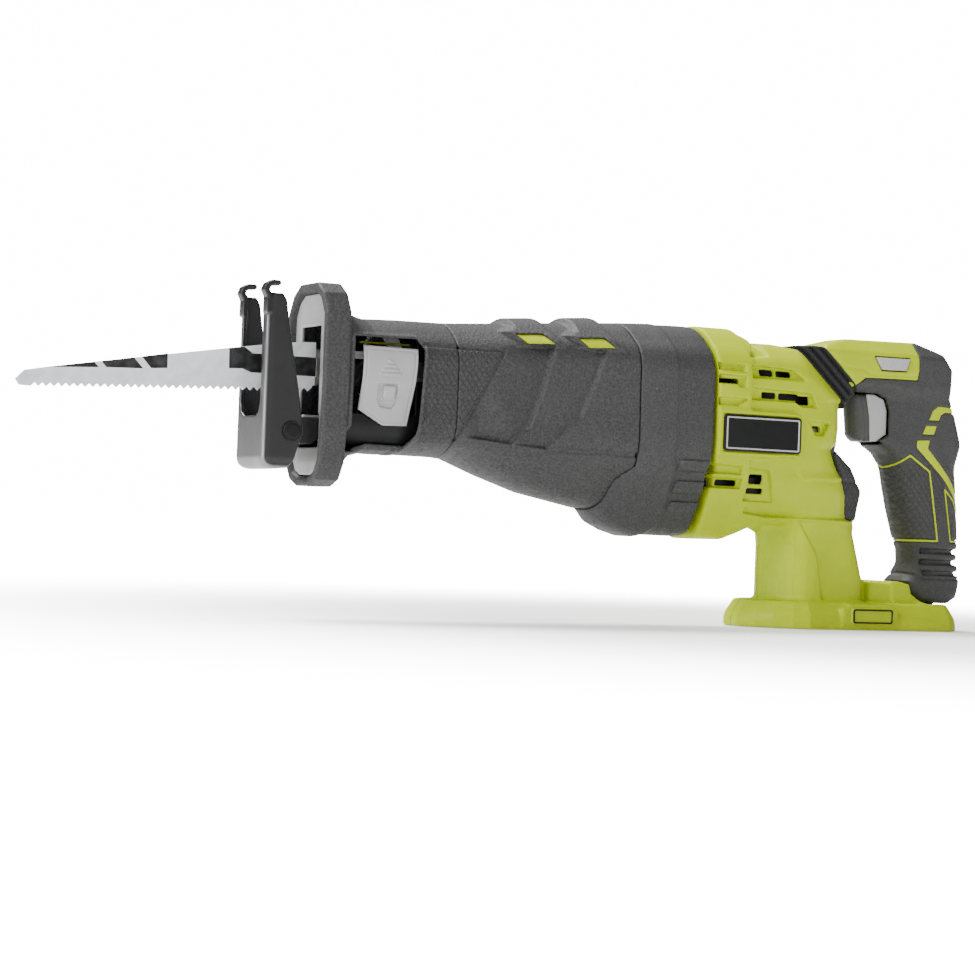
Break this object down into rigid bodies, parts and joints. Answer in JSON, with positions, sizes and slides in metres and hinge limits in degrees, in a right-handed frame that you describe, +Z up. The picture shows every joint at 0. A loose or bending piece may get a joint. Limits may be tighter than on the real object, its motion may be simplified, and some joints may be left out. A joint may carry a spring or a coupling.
{
  "type": "reciprocating saw",
  "caption": "Cordless reciprocating saw body with a blade, pivoting shoe, rubber-booted gearcase, motor housing on a battery foot, and a sprung D-handle with trigger and lock.",
  "frame": {"origin": "centre of the foot's underside, where the battery enters", "axes": "+X forwards along the blade's stroke, +Y to the user's left, +Z up"},
  "size_m": [0.5748, 0.0742, 0.1735],
  "materials": {
    "green_plastic": "satin moulded, fine grain",
    "grey_plastic": "moulded, pebbled",
    "boot_rubber": "pebbled overmould",
    "soft_rubber": "smooth soft rubber",
    "dark_plastic": "smooth moulded",
    "silver_plastic": "silver satin paint",
    "cast_aluminium": "as cast",
    "satin_steel": "satin plated",
    "bright_steel": "ground",
    "dark_steel": "black oxide",
    "bronze": "sintered",
    "copper": "turned",
    "blade_paint": "white paint with black print",
    "red_wire": "wire sleeve"
  },
  "bodies": {
    "housing": {"housing_left": "green_plastic", "housing_right": "green_plastic", "front_collar": "grey_plastic", "boot": "boot_rubber", "nose_boot": "boot_rubber", "nose_flange": "boot_rubber", "gearcase": "cast_aluminium", "bush_carrier": "cast_aluminium", "nose_plate": "satin_steel", "motor_bracket": "cast_aluminium", "motor_can": "satin_steel", "magnets": "dark_steel", "motor_rear_bearing": "bright_steel", "motor_front_bearing": "bright_steel", "brush_holder": "dark_plastic", "carbon_brushes": "dark_plastic", "wobble_rear_bearing": "bright_steel", "wobble_front_bearing": "bright_steel", "rear_bush": "bronze", "front_bush": "bronze", "shoe_bracket": "dark_steel", "shoe_pivot_pin": "dark_steel", "thumb_pad": "boot_rubber", "badge_plate": "dark_plastic", "foot_plate": "dark_plastic", "terminal_block": "dark_plastic", "motor_leads": "red_wire", "case_screws": "dark_steel", "window_inserts": "green_plastic", "bellows": "soft_rubber", "handle_pin": "bright_steel"},
    "rotor": {"armature_shaft": "bright_steel", "rotor_core": "dark_steel", "commutator": "copper", "cooling_fan": "dark_plastic", "pinion": "bright_steel"},
    "drive": {"drive_gear": "bright_steel", "wobble_shaft": "bright_steel"},
    "wobble": {"wobble_ring": "bright_steel"},
    "plunger": {"plunger_rod": "bright_steel", "clamp_body": "dark_steel", "blade_pin": "bright_steel", "saw_blade": "blade_paint"},
    "clamp": {"clamp_collar": "dark_steel"},
    "lever": {"release_lever": "silver_plastic"},
    "shoe": {"shoe_plate": "satin_steel"},
    "handle": {"handle_left": "green_plastic", "handle_right": "green_plastic", "handle_grip": "boot_rubber", "isolator_bushes": "soft_rubber", "switch_body": "dark_plastic"},
    "trigger": {"trigger": "grey_plastic", "trigger_trim": "silver_plastic"},
    "lock": {"lock_button": "silver_plastic"}
  },
  "joints": [
    {"name": "drive_spin", "type": "hinge", "parent": "housing", "child": "drive", "pos_m": [0.109, 0, 0.0862], "axis": [1, 0, 0], "continuous": true},
    {"name": "rotor_spin", "type": "hinge", "parent": "housing", "child": "rotor", "pos_m": [0.06, 0, 0.107], "axis": [1, 0, 0], "continuous": true},
    {"name": "plunger_stroke", "type": "slide", "parent": "housing", "child": "plunger", "axis": [1, 0, 0], "range_m": [-0.011, 0.011]},
    {"name": "wobble_rock", "type": "hinge", "parent": "housing", "child": "wobble", "pos_m": [0.176, 0, 0.0862], "axis": [0, 1, 0], "range_deg": [-14.8, 14.8]},
    {"name": "lever_lift", "type": "hinge", "parent": "housing", "child": "lever", "pos_m": [0.29, 0, 0.13], "axis": [1, 0, 0], "range_deg": [0, 25]},
    {"name": "collar_turn", "type": "hinge", "parent": "plunger", "child": "clamp", "pos_m": [0.311, 0, 0.13], "axis": [1, 0, 0], "range_deg": [0, 25]},
    {"name": "shoe_pivot", "type": "hinge", "parent": "housing", "child": "shoe", "pos_m": [0.347, 0, 0.0955], "axis": [0, 1, 0], "range_deg": [-14, 30]},
    {"name": "trigger_pull", "type": "slide", "parent": "handle", "child": "trigger", "axis": [-1, 0, 0], "range_m": [0, 0.007], "stiffness_N_per_m": 900, "springref_m": -0.002},
    {"name": "lock_slide", "type": "slide", "parent": "handle", "child": "lock", "axis": [0, -1, 0], "range_m": [0, 0.003]},
    {"name": "handle_float", "type": "hinge", "parent": "housing", "child": "handle", "pos_m": [-0.062, 0, 0.02], "axis": [0, 1, 0], "range_deg": [-0.8, 0.8], "stiffness_Nm_per_rad": 400, "deforming": ["bellows"]}
  ],
  "couplings": [
    {"joint": "rotor_spin", "follows": "drive_spin", "ratio": -4.7778},
    {"joint": "wobble_rock", "follows": "plunger_stroke", "rad_per_m": 23.406},
    {"joint": "collar_turn", "follows": "lever_lift", "ratio": 1}
  ]
}
